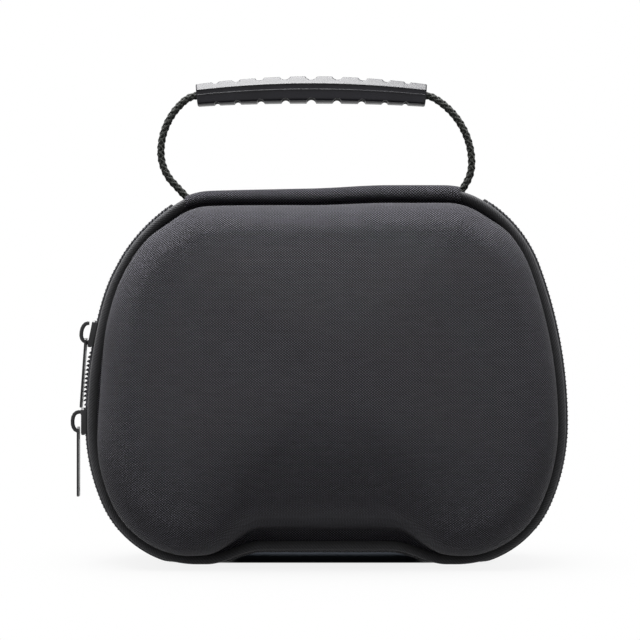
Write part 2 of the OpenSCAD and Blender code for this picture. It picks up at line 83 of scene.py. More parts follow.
def new_finish(name, roughness, sheen=0.0, gloss=0.12):
    """An empty material, with the low gloss of cloth unless told: its node tree and its shader"""
    material = bpy.data.materials.new(name)
    material.use_nodes = True
    tree = material.node_tree
    shader = tree.nodes["Principled BSDF"]
    shader.inputs["Roughness"].default_value = roughness
    shader.inputs["Sheen Weight"].default_value = sheen
    shader.inputs["Specular IOR Level"].default_value = gloss
    return material, tree, shader


def calc(tree, operation, *values):
    """A Math node on numbers or sockets, for the patterns of the fabrics"""
    node = tree.nodes.new("ShaderNodeMath")
    node.operation = operation
    for socket, value in zip(node.inputs, values):
        if isinstance(value, (int, float)):
            socket.default_value = value
        else:
            tree.links.new(value, socket)
    return node.outputs[0]


def fade(tree, value, start, end, low=0.0, high=1.0):
    """Goes softly from low to high while a value goes from start to end"""
    node = tree.nodes.new("ShaderNodeMapRange")
    node.interpolation_type = "SMOOTHSTEP"
    for name, number in zip(("From Min", "From Max", "To Min", "To Max"), (start, end, low, high)):
        node.inputs[name].default_value = number
    tree.links.new(value, node.inputs["Value"])
    return node.outputs[0]


def two_tone(tree, shader, share, dark, light):
    """Colours a surface between its dark and its light tone"""
    ramp = tree.nodes.new("ShaderNodeValToRGB")
    ramp.color_ramp.elements[0].color = ink(*dark)
    ramp.color_ramp.elements[1].color = ink(*light)
    tree.links.new(share, ramp.inputs[0])
    tree.links.new(ramp.outputs[0], shader.inputs["Base Color"])


def on_piece(tree):
    """Places on a piece, in metres about the part's origin"""
    return tree.nodes.new("ShaderNodeTexCoord").outputs["Object"]


def seen_ray(tree):
    """1 for the rays that show the backdrop: to the eye, in gloss and through clear things"""
    path = tree.nodes.new("ShaderNodeLightPath")
    seen = calc(tree, "MAXIMUM", path.outputs["Is Camera Ray"], path.outputs["Is Glossy Ray"])
    return calc(tree, "MAXIMUM", seen, path.outputs["Is Transmission Ray"])


def end_in_mix(tree, share, first, second, end):
    """Ends a tree in a mix of two shaders, with this share of the second"""
    mix = tree.nodes.new("ShaderNodeMixShader")
    for k, socket in enumerate((share, first.outputs[0], second.outputs[0])):
        tree.links.new(socket, mix.inputs[k])
    tree.links.new(mix.outputs[0], tree.nodes[end].inputs[0])


world = bpy.data.worlds.new("studio")
bpy.context.scene.world = world
world.use_nodes = True
tree = world.node_tree
backdrop, ambient = tree.nodes["Background"], tree.nodes.new("ShaderNodeBackground")
for light, strength in [(backdrop, 1), (ambient, 0.11)]:
    light.inputs["Color"].default_value = (1, 1, 1, 1)
    light.inputs["Strength"].default_value = strength
end_in_mix(tree, seen_ray(tree), ambient, backdrop, "World Output")

lamp_aim = Vector((0, 0, 0.08))
for name, place, size, power in [("lamp_above", Vector((-0.08, -0.06, 1.0)), 0.7, 42),
                                 ("lamp_front", Vector((-0.62, -0.52, 0.3)), 0.5, 0.55)]:
    lamp = bpy.data.lights.new(name, "AREA")
    lamp.size = size
    lamp.energy = power
    stand = bpy.data.objects.new(name, lamp)
    facing = (lamp_aim - place).to_track_quat("-Z", "Y").to_matrix().to_4x4()
    stand.matrix_world = Matrix.Translation(place) @ facing
    bpy.context.scene.collection.objects.link(stand)

floor_finish, tree, shader = new_finish("studio_floor", 1, gloss=0)
white = tree.nodes.new("ShaderNodeEmission")
white.inputs["Strength"].default_value = 1
far = tree.nodes.new("ShaderNodeVectorMath")
far.operation = "LENGTH"
tree.links.new(on_piece(tree), far.inputs[0])
spot = tree.nodes.new("ShaderNodeSeparateXYZ")
tree.links.new(on_piece(tree), spot.inputs[0])
# right under the case and a little behind it, between its two rims, the floor is painted dark and bluish: a
# painted shadow, and the white is left out there so that the real shade shows as well
case_x = 0.0028
side = calc(tree, "ABSOLUTE", calc(tree, "SUBTRACT", spot.outputs[0], case_x))
painted_shadow_under = calc(tree, "MULTIPLY", fade(tree, spot.outputs[1], -0.004, -0.001),
             fade(tree, spot.outputs[1], 0.04, 0.062, 1, 0))
painted_shadow_under = calc(tree, "MULTIPLY", painted_shadow_under, fade(tree, side, 0.035, 0.066, 1, 0))
two_tone(tree, shader, painted_shadow_under, (137, 137, 137), (62, 66, 72))
open_floor = calc(tree, "MULTIPLY", fade(tree, far.outputs["Value"], 0.03, 0.15, 0.85),
                  calc(tree, "SUBTRACT", 1, painted_shadow_under))
end_in_mix(tree, calc(tree, "MULTIPLY", open_floor, seen_ray(tree)), shader, white, "Material Output")

floor_half, floor_drop = 6, 0.00002
bm = bmesh.new()
bmesh.ops.create_grid(bm, x_segments=1, y_segments=1, size=floor_half)
bmesh.ops.translate(bm, verts=bm.verts, vec=(0, 0, -floor_drop))
mesh = bpy.data.meshes.new("studio_floor")
bm.to_mesh(mesh)
bm.free()
mesh.materials.append(floor_finish)
floor = bpy.data.objects.new("studio_floor", mesh)
bpy.context.scene.collection.objects.link(floor)

# Moulded shells
# Each half of the case is foam pressed hot between a ballistic nylon fabric and a knitted lining.
# The press leaves a flat rim, a crease, a wall that leans in and a crowned face, and raises the
# arch under the middle that the hands of the controller stand round.
case_middle, face_middle = Vector((2.775, 0, 0)), Vector((0, 0, 78.05))
# The line of the zip on the right, in millimetres about the middle of the case: the flat top and the
# flank of the arch, then the bends of the lower corner, the flank, the long side, the shoulder and
# the top corner as (centre x, centre z, turn, steps)
arch_flat, arch_flank, line_foot = 25.03, 22, -1.4
bends = [(50.83, 39.6, 66.74, 28), (15, 55, 23.26, 16), (-85, 55, 20.21, 26), (36.06, 99.56, 41.79, 22),
         (45.92, 118.1, 28, 12)]
top_half = bends[-1][0]


def part_way(value, start, end):
    """How far a value has come from start to end, from 0 to 1"""
    return min(1, max(0, (value - start) / (end - start)))


def soft(share):
    """A share with a soft start and a soft end"""
    return share * share * (3 - 2 * share)


def trace_zip_line(bm):
    """Draws the line of the zip, right half first, from under the middle to the top.

    It is worked in millimetres. Every point carries the way inwards, its share of the arch's rise
    and how far along the line it lies."""
    inward = bm.verts.layers.float_vector.new("inward")
    rise = bm.verts.layers.float.new("rise")
    along = bm.verts.layers.float.new("along")
    tip = bm.verts.new((0, 0, line_foot))
    tip[inward], tip[rise] = (0, 0, 1), 1
    arch_end, corner = arch_flat + arch_flank, bends[0][0]
    steps = [arch_flat * k / 10 for k in range(1, 11)]
    steps += [arch_flat + arch_flank * k / 18 for k in range(1, 19)]
    for x in steps + [(arch_end + corner) / 2, corner]:
        tip = bmesh.ops.extrude_vert_indiv(bm, verts=[tip])["verts"][0]
        tip.co.x = x
        tip[rise] = 0.5 + 0.5 * math.cos(math.pi * part_way(x, arch_flat, arch_end))
    for centre_x, centre_z, turn, steps in bends:
        drawn = len(bm.verts)
        centre = Vector((centre_x, 0, centre_z))
        tip = bmesh.ops.spin(bm, geom=[tip], cent=centre, axis=(0, -1, 0), steps=steps,
                             angle=math.radians(turn), use_merge=False,
                             use_duplicate=False)["geom_last"][0]
        bm.verts.ensure_lookup_table()
        for point in bm.verts[drawn:]:
            point[inward] = (centre - point.co).normalized()
            point[rise] = 0
    tip[inward] = (0, 0, -1)
    for k in range(1, 19):
        tip = bmesh.ops.extrude_vert_indiv(bm, verts=[tip])["verts"][0]
        tip.co.x = top_half * (1 - k / 18)
    bm.verts.ensure_lookup_table()
    line = list(bm.verts)
    for before, point in zip(line, line[1:]):
        point[along] = before[along] + (point.co - before.co).length
    whole = 2 * line[-1][along]
    bmesh.ops.mirror(bm, geom=bm.verts[:] + bm.edges[:], merge_dist=0.001, axis="X")
    for point in bm.verts:
        if point.co.x < -0.001:
            point[inward].x *= -1
            point[along] = whole - point[along]
    return whole


def carry_edges(bm, edges):
    """Extrudes edges on the spot: their new points, and the new edges between these"""
    grown = bmesh.ops.extrude_edge_only(bm, edges=edges)["geom"]
    points = [g for g in grown if isinstance(g, bmesh.types.BMVert)]
    fresh = set(points)
    return points, [g for g in grown if isinstance(g, bmesh.types.BMEdge) and set(g.verts) <= fresh]


def shift(bm, points, inset, depth, arch):
    """Moves points of a section inwards, to the front and with the arch"""
    inward, rise = bm.verts.layers.float_vector["inward"], bm.verts.layers.float["rise"]
    for point in points:
        point.co += point[inward] * inset + Vector((0, -depth, arch * point[rise]))


def first_line(bm, inset, depth, arch):
    """Moves the drawn line to the first line of a section"""
    shift(bm, bm.verts, inset, depth, arch)
    return bm.edges[:]


def next_line(bm, edges, inset, depth, arch=0.0):
    """Carries the surface on by a step inwards, a step to the front and a step of the arch"""
    points, edges = carry_edges(bm, edges)
    shift(bm, points, inset, depth, arch)
    return edges


def crown_over(bm, edges, depth, crown):
    """Closes a shell with a shallow crown: rings that shrink to the middle of the face"""
    rings, before = 14, 1.0
    for k in range(1, rings + 1):
        share = 1 - k / rings
        points, edges = carry_edges(bm, edges)
        if share > 0:
            bmesh.ops.scale(bm, verts=points, vec=(share / before, 1, share / before),
                            space=Matrix.Translation(-face_middle))
            for point in points:
                point.co.y = -depth - crown * (1 - share * share)
            before = share
        else:
            bmesh.ops.pointmerge(bm, verts=points, merge_co=face_middle - Vector((0, depth + crown, 0)))


def face_outwards(bm):
    """Turns the faces of a finished shell outwards"""
    bmesh.ops.recalc_face_normals(bm, faces=bm.faces)


def mirrored(bm, scale):
    """Mirrors a mesh by a scale and turns its faces outwards again"""
    bmesh.ops.scale(bm, verts=bm.verts, vec=scale)
    bmesh.ops.reverse_faces(bm, faces=bm.faces)
    return bm


def chart_cloth(bm, lies_at):
    """Lays the cloth's own map on a mesh, from each point's two places on the cloth in millimetres"""
    cloth = bm.loops.layers.uv.new("cloth")
    for face in bm.faces:
        for corner in face.loops:
            across, up = lies_at(corner.vert)
            corner[cloth].uv = (across / 1000, up / 1000)


def finished(bm, name, materials, sharp=40):
    """Makes a piece of a mesh worked in millimetres about the middle of the case itself"""
    for layers in (bm.verts.layers.float_vector, bm.verts.layers.float):
        for layer in list(layers.values()):
            layers.remove(layer)
    for point in bm.verts:  # the shoulder by the upper slider and the top beside it have sunk a little
        x, z = point.co.x, point.co.z
        sunk = 1.8 * math.exp(-((x + 76) ** 2 + (z - 136) ** 2) / 600) * part_way(z, 102, 118)
        top = 0.9 * part_way(z, 118, 140) * part_way(z, 166, 152)
        left = soft(part_way(x, 24, -6) * part_way(x, -82, -60))
        point.co += Vector((sunk, 0, -sunk - top * left))
    bmesh.ops.translate(bm, verts=bm.verts, vec=case_middle)
    bmesh.ops.scale(bm, verts=bm.verts, vec=(0.001, 0.001, 0.001))
    for face in bm.faces:
        face.smooth = True
    for edge in bm.edges:
        edge.smooth = edge.calc_face_angle(0) < math.radians(sharp)
    mesh = bpy.data.meshes.new(name)
    bm.to_mesh(mesh)
    bm.free()
    for material in materials:
        mesh.materials.append(material)
    piece = bpy.data.objects.new(name, mesh)
    bpy.context.scene.collection.objects.link(piece)
    return piece


def fitted(bm, name, materials, body, node, sharp=40):
    """Makes a piece that rides on a body, in the place of its node if it has one"""
    piece = finished(bm, name, materials, sharp)
    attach(piece, body)
    if node:
        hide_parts(node)
    return piece


def pattern_lines(tree, across, up):
    """The two coordinates of a piece's own map, counted in threads of these widths in millimetres"""
    chart = tree.nodes.new("ShaderNodeUVMap")
    chart.uv_map = "cloth"
    split = tree.nodes.new("ShaderNodeSeparateXYZ")
    tree.links.new(chart.outputs[0], split.inputs[0])
    return (calc(tree, "MULTIPLY", split.outputs[0], 1000 / across),
            calc(tree, "MULTIPLY", split.outputs[1], 1000 / up), chart.outputs[0])


def rough_noise(tree, vector, scale, detail=2.0, stretch=(1, 1, 1)):
    """Noise of so many spots to a metre, stretched along the threads where they run unevenly"""
    turn = tree.nodes.new("ShaderNodeMapping")
    turn.inputs["Scale"].default_value = stretch
    tree.links.new(vector, turn.inputs["Vector"])
    noise = tree.nodes.new("ShaderNodeTexNoise")
    noise.inputs["Scale"].default_value = scale
    noise.inputs["Detail"].default_value = detail
    tree.links.new(turn.outputs[0], noise.inputs["Vector"])
    return noise.outputs[0]


def swing(tree, operation, threads, turns=0.5):
    """The sine or cosine of a count of threads, with so many turns to each"""
    return calc(tree, operation, calc(tree, "MULTIPLY", threads, 2 * math.pi * turns))


def ribs(tree, threads):
    """One round rib to each thread"""
    return calc(tree, "ABSOLUTE", swing(tree, "SINE", threads))


def uneven(tree, height, chart, spots):
    """A pattern whose light tones are broken up by noise"""
    return calc(tree, "MULTIPLY", height, rough_noise(tree, chart, spots))


def relief(tree, shader, height, depth):
    """Raises a pattern by a depth in millimetres"""
    bump = tree.nodes.new("ShaderNodeBump")
    bump.inputs["Distance"].default_value = depth / 1000
    tree.links.new(height, bump.inputs["Height"])
    tree.links.new(bump.outputs[0], shader.inputs["Normal"])


# Ballistic nylon: thick threads whose crowns stand as rows of oval grains, each row shifted by half
# a grain against the next, with a slub here and there. The crowns are painted lighter and the gaps
# between them darker: painted highlight and shade where the threads catch the light, over the real relief
nylon, tree, shader = new_finish("ballistic_nylon", 0.62, 0.05)
across, up, chart = pattern_lines(tree, 0.57, 0.47)
wander = calc(tree, "MULTIPLY", rough_noise(tree, chart, 260), 0.9)
grain = calc(tree, "MULTIPLY", swing(tree, "COSINE", calc(tree, "ADD", across, wander)),
             swing(tree, "COSINE", calc(tree, "ADD", up, wander)))
height = calc(tree, "MULTIPLY_ADD", grain, 0.5, 0.5)
slub = calc(tree, "MULTIPLY_ADD", rough_noise(tree, chart, 420, 3, (0.35, 1, 1)), 0.14, -0.07)
# painted highlight on the crowns of the grains and painted shade between them
painted_crown_light = fade(tree, calc(tree, "ADD", height, slub), 0.5, 1)
two_tone(tree, shader, painted_crown_light, (14, 14, 17), (109, 107, 119))
relief(tree, shader, height, 1)

# Knitted lining: fine ribs of a brushed polyester
lining, tree, shader = new_finish("knitted_lining", 0.9, 0.35)
across, up, chart = pattern_lines(tree, 0.5, 0.5)
loop = ribs(tree, calc(tree, "ADD", up, across))
height = calc(tree, "MULTIPLY_ADD", loop, 0.4, calc(tree, "MULTIPLY", ribs(tree, across), 0.6))
two_tone(tree, shader, uneven(tree, height, chart, 900), (44, 44, 49), (112, 112, 120))
relief(tree, shader, height, 0.1)

# The section of a half as (inset from the line of the zip, depth in front of the seam, rise of the
# arch), from the lip of the crown inside round the rim to the lip of the crown outside
arch_rise, edge_depth, inner_r, outer_r, crown = 9.4, 19.5, 11, 14, 4
inside = [(9.3 + inner_r * (1 - math.cos(a)), edge_depth + inner_r * math.sin(a), arch_rise)
          for a in [math.pi / 2 * k / 8 for k in range(8, -1, -1)]]
rim = [(9.1, 6, 9.4), (8.7, 5.15, 9.2), (8.1, 5, 8.8), (3.2, 5, 5.5), (2.85, 5.2, 5.5), (2.8, 5.6, 5.5),
       (2.8, 8.4, 5.5), (2.95, 8.85, 5.5), (3.4, 9, 5.5), (4.8, 9, 5.5), (5.1, 8.9, 5.5), (5.22, 8.6, 5.5),
       (5.3, 8.2, 5.6), (5.4, 8.02, 7), (5.5, 8.1, 8.6), (5.6, 8.4, 9.2), (5.7, 8.9, 9.4), (5.75, 10.4, 9.4)]
outside = [(5.7 + outer_r * (1 - math.cos(a)), edge_depth + outer_r * math.sin(a), arch_rise)
           for a in [math.radians(85) * k / 16 for k in range(17)]]
lining_end, crease = len(inside) + 3, len(inside) + 12


def press_in(points):
    """Where the crease lies a little deeper: under the spine, and beside the open stretch of the zip"""
    for point in points:
        point.co.z -= 1.6 * soft(part_way(point.co.z, 128, 138))
        if point.co.x < 0:
            beside_zip = max(0, 1 - ((point.co.z - 67) / 30) ** 2)
            point.co.x += 1.4 * beside_zip * beside_zip


def hollow_over_arch(points):
    """The face falls away towards the arch, where it lies between the hands of the controller"""
    for point in points:
        low = part_way(point.co.z, 60, 15)
        share = part_way(-point.co.y, 9, 27) * soft(part_way(abs(point.co.x), 60, 16)) * low * low
        point.co += Vector((0, 4.5 * share, 3.8 * share))


def moulded_half():
    """One half, pressed in one piece: inner face, rim, crease, wall, rounded edge and crown"""
    bm = bmesh.new()
    trace_zip_line(bm)
    unroll = bm.verts.layers.float.new("unroll")
    inward = bm.verts.layers.float_vector["inward"]
    section = inside + rim + outside
    edges = first_line(bm, *section[0])
    crown_over(bm, edges, edge_depth + inner_r, crown)
    for face in bm.faces:
        face.material_index = 1
    # how much cloth lies between each line and the lip of the crown that it hangs from
    inner_run = [0.0]
    for a, b in zip(section, section[1:]):
        inner_run.append(inner_run[-1] + math.dist(a[:2], b[:2]))
    for k, (a, b) in enumerate(zip(section, section[1:]), 1):
        drawn, walls = len(bm.verts), len(bm.faces)
        edges = next_line(bm, edges, b[0] - a[0], b[1] - a[1], b[2] - a[2])
        bm.verts.ensure_lookup_table()
        bm.faces.ensure_lookup_table()
        lined = k < lining_end
        if k == crease:
            press_in(bm.verts[drawn:])
        hangs = inner_run[k] - section[0][0] if lined else inner_run[-1] - inner_run[k] - section[-1][0]
        for point in bm.verts[drawn:]:
            point[unroll] = -b[0] - hangs
        for face in bm.faces[walls:]:
            face.material_index = int(lined)
    drawn = len(bm.verts)
    crown_over(bm, edges, section[-1][1], crown)
    bm.verts.ensure_lookup_table()
    for point in bm.verts[drawn:]:
        point[unroll] = 0
    face_outwards(bm)
    chart_cloth(bm, lambda point: (point.co + point[inward] * point[unroll]).xz)
    hollow_over_arch(bm.verts)
    return bm


fitted(moulded_half(), "moulded_lid", [nylon, lining], "lid", "front_shell")
fitted(mirrored(moulded_half(), (1, -1, 1)), "moulded_back", [nylon, lining], "back_half", "back_shell")

# Bindings
# A woven tape is folded over each rim and sewn down with the zip tape under it. It rounds the edge
# of the rim and lies on its face as a low, slightly padded band.
band_rise = 5.5


def both_halves(what, part):
    """The names, sides, bodies and nodes of a piece that the lid and the back half both have"""
    return [("lid_" + what, 1, "lid", "front_" + part),
            ("back_half_" + what, -1, "back_half", "back_" + part)]


def banded(section, sign):
    """A band all round the line of the zip, from its section of (inset, depth) points"""
    bm = bmesh.new()
    whole = trace_zip_line(bm)
    run = bm.verts.layers.float.new("run")
    edges = first_line(bm, *section[0], band_rise)
    length = 0.0
    for before, point in zip(section, section[1:] + section[:1]):
        drawn = len(bm.verts)
        edges = next_line(bm, edges, point[0] - before[0], point[1] - before[1])
        length += math.dist(point, before)
        bm.verts.ensure_lookup_table()
        for vert in bm.verts[drawn:]:
            vert[run] = length
    along = bm.verts.layers.float["along"]
    cloth = bm.loops.layers.uv.new("cloth")
    for face in bm.faces:
        places = [vert[along] for vert in face.verts]
        wraps = max(places) - min(places) > whole / 2
        for corner in face.loops:
            u = corner.vert[along]
            u += whole if wraps and u < whole / 2 else 0
            corner[cloth].uv = (u / 1000, corner.vert[run] / 1000)
    bmesh.ops.remove_doubles(bm, verts=bm.verts, dist=0.0005)
    face_outwards(bm)
    return bm if sign > 0 else mirrored(bm, (1, -1, 1))


bound, tree, shader = new_finish("binding_weave", 0.7, 0.1, 0.3)
thread_width = 0.62
across, up, chart = pattern_lines(tree, thread_width, thread_width)
twill = swing(tree, "SINE", calc(tree, "ADD", across, up))
cross = swing(tree, "SINE", across, 1)
height = calc(tree, "MULTIPLY_ADD", twill, 0.35, calc(tree, "MULTIPLY_ADD", cross, 0.15, 0.5))
fluff = calc(tree, "MULTIPLY_ADD", rough_noise(tree, chart, 700, 3), 0.8, -0.4)
# painted light and shade: the outer edge is painted lighter where the light meets it, and the lip in the
# crease is painted dark where shade falls
painted_edge_light_crease_shade = fade(tree, up, 5.2 / thread_width, 8.8 / thread_width, 1, 0.12)
two_tone(tree, shader, calc(tree, "MULTIPLY", calc(tree, "ADD", height, fluff), painted_edge_light_crease_shade),
         (9, 9, 10), (60, 60, 63))
relief(tree, shader, height, 0.06)

binding_section = [(2.2, 5.05), (1.9, 5), (1.55, 5.1), (1.42, 5.4), (1.4, 6.2), (1.4, 8.2), (1.5, 8.9),
                   (1.75, 9.4), (2.15, 9.7), (2.7, 9.82), (3.3, 9.78), (3.9, 9.62), (4.4, 9.4), (4.8, 9.2),
                   (5.1, 9.05), (5.15, 9.01), (2.2, 9.01)]
for name, sign, body, node in both_halves("binding", "binding"):
    fitted(banded(binding_section, sign), name, [bound], body, node, 80)

# Zip tapes
# A thin herringbone tape for each half, sewn between the rim and its binding. It ends on top, where
# the spine takes over.
herringbone, tree, shader = new_finish("zip_tape_weave", 0.8, 0.1)
across, up, chart = pattern_lines(tree, 0.5, 1.6)
fold = calc(tree, "ABSOLUTE", calc(tree, "MULTIPLY_ADD", calc(tree, "FRACT", up), 2, -1))
slant = swing(tree, "SINE", calc(tree, "MULTIPLY_ADD", fold, 1.6, across), 1)
height = calc(tree, "MULTIPLY_ADD", slant, 0.5, 0.5)
two_tone(tree, shader, uneven(tree, height, chart, 800), (9, 9, 10), (38, 38, 41))
relief(tree, shader, height, 0.08)

seam_half, zip_half_mouth, over_middle = 4.99, 63.9, 55


def whole_mesh(bm):
    """All the points, edges and faces of a mesh"""
    return bm.verts[:] + bm.edges[:] + bm.faces[:]


def close_holes(bm, sides):
    """Closes each hole with up to so many sides, or all of them with 0"""
    bmesh.ops.holes_fill(bm, edges=[e for e in bm.edges if e.is_boundary], sides=sides)


def press_flat(bm, sole):
    """Presses in what would hang lower than the rims that the case stands on"""
    for point in bm.verts:
        if point.co.z < 1:
            point.co.z = sole + (1 - sole) * math.exp((point.co.z - 1) / (1 - sole))


def zip_band(section, sign, sole):
    """A band beside the seam, left out between the ends of the zip on top"""
    bm = banded(section, sign)
    for x in (-zip_half_mouth, zip_half_mouth):
        bmesh.ops.bisect_plane(bm, geom=whole_mesh(bm), dist=0.0001, plane_co=(x, 0, 0), plane_no=(1, 0, 0))
    middles = [(face, face.calc_center_median()) for face in bm.faces]
    bmesh.ops.delete(bm, geom=[face for face, at in middles if at.z > over_middle
                               and abs(at.x) < zip_half_mouth and abs(at.y) < seam_half], context="FACES")
    edges_on_top = [e for e in bm.edges if e.is_boundary and min(abs(v.co.y) for v in e.verts) > seam_half]
    if edges_on_top:
        bmesh.ops.bridge_loops(bm, edges=edges_on_top)
    close_holes(bm, 12)
    face_outwards(bm)
    press_flat(bm, sole)
    return bm


tape_section = [(1.2, 1.2), (1.1, 2.6), (1.3, 3.2), (1.4, 4.3), (2.2, 5.3),
                (2.2, 8.95), (2.8, 8.95), (2.8, 5.3), (1.88, 4.5), (1.85, 1.2)]
for name, sign, body, node in both_halves("tape", "zip_tape"):
    fitted(zip_band(tape_section, sign, 0.2), name, [herringbone], body, node)

# Coils
# Two continuous nylon coils, one sewn to the edge of each tape. Each turn of a coil is a tooth: it
# leaves the tape on its outer leg, bends round its head, which locks between two heads of the other
# coil, and comes back on its inner leg. Between the sliders the zip is open and the heads part.
nylon_coil, tree, shader = new_finish("coil_nylon", 0.3, gloss=0.5)
two_tone(tree, shader, rough_noise(tree, on_piece(tree), 1500), (14, 14, 16), (46, 46, 49))


def draw_wire(bm, points, radius, sides=6):
    """Sweeps a round section along points; an oval one where radius is a pair"""
    wide, high = radius if isinstance(radius, tuple) else (radius, radius)
    points = [Vector(p) for p in points]
    ring = bmesh.ops.create_circle(bm, segments=sides, radius=1, cap_ends=True)["verts"]
    bmesh.ops.scale(bm, verts=ring, vec=(wide, high, 1))
    way, heading = points[1] - points[0], Vector((0, 0, 1))
    turn = heading.rotation_difference(way)
    bmesh.ops.rotate(bm, verts=ring, cent=(0, 0, 0), matrix=turn.to_matrix())
    bmesh.ops.translate(bm, verts=ring, vec=points[0])
    face = [f for f in ring[0].link_faces if set(f.verts) == set(ring)][0]
    heading = way.normalized()
    for k in range(1, len(points)):
        grown = bmesh.ops.extrude_discrete_faces(bm, faces=[face])["faces"]
        if k == 1:  # the first face stays as the near end
            bmesh.ops.contextual_create(bm, geom=[e for e in bm.edges if e.is_boundary])
        face = grown[0]
        after = points[k + 1] - points[k] if k < len(points) - 1 else points[k] - points[k - 1]
        way = (points[k] - points[k - 1]).normalized() + after.normalized()
        bmesh.ops.rotate(bm, verts=face.verts, cent=points[k - 1],
                         matrix=heading.rotation_difference(way).to_matrix())
        bmesh.ops.translate(bm, verts=face.verts, vec=points[k] - points[k - 1])
        heading = way.normalized()


def pattern_mesh(bm, name):
    """Keeps a small mesh for laying down many times, its faces turned outwards"""
    face_outwards(bm)
    mesh = bpy.data.meshes.new(name)
    bm.to_mesh(mesh)
    bm.free()
    return mesh


def lay_down(bm, pattern, place):
    """Adds a copy of a small mesh at a place"""
    copy = pattern.copy()
    copy.transform(place)
    bm.from_mesh(copy)
    bpy.data.meshes.remove(copy)


# the middle of the coil's thickness, as (length from under the middle, place) on the right half
pitch, coil_inset, longer_than_half = 1.7, 1.1, 300
bm = bmesh.new()
trace_zip_line(bm)
first_line(bm, coil_inset, 0, band_rise)
along = bm.verts.layers.float["along"]
right_side = sorted((v for v in bm.verts if v.co.x > -0.001), key=lambda v: v[along])
right_side = [v.co.copy() for v in right_side if v[along] < longer_than_half]
bm.free()
zip_line, length = [(0.0, right_side[0])], 0.0
for a, b in zip(right_side, right_side[1:]):
    length += (b - a).length
    zip_line.append((length, b))
zip_end = next(s for s, point in zip_line if point.z > over_middle and point.x < 64.9)


def stands_out(point):
    """How far the soft tapes let the coils stand out: most in the open stretch between the sliders"""
    if point.z < 14:
        return 0.0
    if point.x < 0 and 61.6 < point.z < 84:
        return 0.25 + 0.85 * (1 - abs((point.z - 72.8) / 11.2) ** 6)
    return 0.25


def on_zip(length):
    """A place on the line of the coil, and the frame that runs along it: X along, Z inwards"""
    def at(s):
        for (s0, a), (s1, b) in zip(zip_line, zip_line[1:]):
            if abs(s) <= s1:
                point = a.lerp(b, (abs(s) - s0) / (s1 - s0))
                return Vector((math.copysign(point.x, s), 0, point.z))
        return zip_line[-1][1]
    way = at(length + 1) - at(length - 1)
    return at(length), Matrix.Rotation(-math.atan2(way.z, way.x), 4, "Y")


bm = bmesh.new()
draw_wire(bm, [(0.42, -2.8, -0.7), (0.42, -1.3, -0.7), (0.1, -0.5, -0.5), (0, 0.06, 0), (-0.1, -0.5, 0.5),
               (-0.42, -1.3, 0.7), (-0.42, -2.8, 0.7)], 0.36)
tooth = pattern_mesh(bm, "tooth")
turns = int(zip_end / pitch)
for name, sign, body, node in both_halves("coil", "coil"):
    bm, start = bmesh.new(), 0 if sign > 0 else 0.5
    for k in range(-turns, turns):
        point, turn = on_zip((k + start) * pitch)
        parted = point.x < 0 and 52.3 < point.z < 97
        back_by, leg = (1.05, 0.7) if parted else (0, 1)
        lay_down(bm, tooth, Matrix.Translation(point) @ turn @ Matrix.Diagonal((sign, sign, 1, 1))
                 @ Matrix.Translation((0, -back_by, -stands_out(point))) @ Matrix.Diagonal((1, leg, 1, 1)))
    press_flat(bm, 0.1)
    face_outwards(bm)
    fitted(bm, name, [nylon_coil], body, node, 80)

# the cord that each coil is wound round, between its outer and its inner legs, painted much paler than the
# coil: a painted highlight that stands in for the glints of light between the teeth
core_yarn, tree, shader = new_finish("core_yarn", 0.5)
across, up, chart = pattern_lines(tree, 0.6, 0.6)
twist = calc(tree, "MULTIPLY_ADD", swing(tree, "SINE", calc(tree, "ADD", across, up), 1), 0.5, 0.5)
two_tone(tree, shader, uneven(tree, twist, chart, 900), (48, 48, 51), (150, 150, 156))
relief(tree, shader, twist, 0.06)
core_section = [(0.1, 1.2), (-0.06, 1.35), (-0.06, 2.15), (0.1, 2.32), (0.95, 2.36), (0.95, 1.2)]
for name, sign, body, _ in both_halves("coil_core", ""):
    fitted(zip_band(core_section, sign, 0.15), name, [core_yarn], body, None)

# Zip stops
# A small clamp pressed round each end of each coil, where the spine begins, so that the sliders
# can't run off.
def add_block(bm, middle, size):
    """Adds a plain block of a size to a mesh, and gives its edges"""
    points = bmesh.ops.create_cube(bm, size=1)["verts"]
    bmesh.ops.scale(bm, verts=points, vec=size)
    bmesh.ops.translate(bm, verts=points, vec=middle)
    return [edge for edge in bm.edges if edge.verts[0] in points]


def ease(bm, edges, width, segments, clamp=False):
    """Rounds edges by a width"""
    bmesh.ops.bevel(bm, geom=edges, offset=width, offset_type="OFFSET", affect="EDGES", segments=segments,
                    profile=0.5, material=-1, clamp_overlap=clamp)


bm = bmesh.new()
ease(bm, add_block(bm, (0, 0, 0), (2, 2.1, 2.2)), 0.4, 2)
clamp = pattern_mesh(bm, "zip_clamp")
for name, sign, body, node in both_halves("zip_stops", "zip_stops"):
    bm = bmesh.new()
    for side in (-1, 1):
        point, turn = on_zip(side * (zip_end + 1.6))
        lay_down(bm, clamp, Matrix.Translation(point + Vector((0, -sign * 1.95, 0))) @ turn)
    fitted(bm, name, [nylon_coil], body, node)

# Spine and inner hinge tape
# A band of the same nylon arches over the seam between the ends of the handle and is sewn to both
# halves: it is the hinge. It isn't quite even, as sewn cloth never is. A tape covers its seam inside.
def carried_strip(line, step, steps):
    """Draws a line of places, each with its length along it, and carries it on in steps"""
    bm = bmesh.new()
    run = bm.verts.layers.float.new("run")
    tip = bm.verts.new(line[0])
    for a, b in zip(line, line[1:]):
        length = tip[run] + math.dist(a, b)
        tip = bmesh.ops.extrude_vert_indiv(bm, verts=[tip])["verts"][0]
        tip.co = b
        tip[run] = length
    edges = bm.edges[:]
    for k in range(steps):
        points, edges = carry_edges(bm, edges)
        bmesh.ops.translate(bm, verts=points, vec=step)
    return bm, run


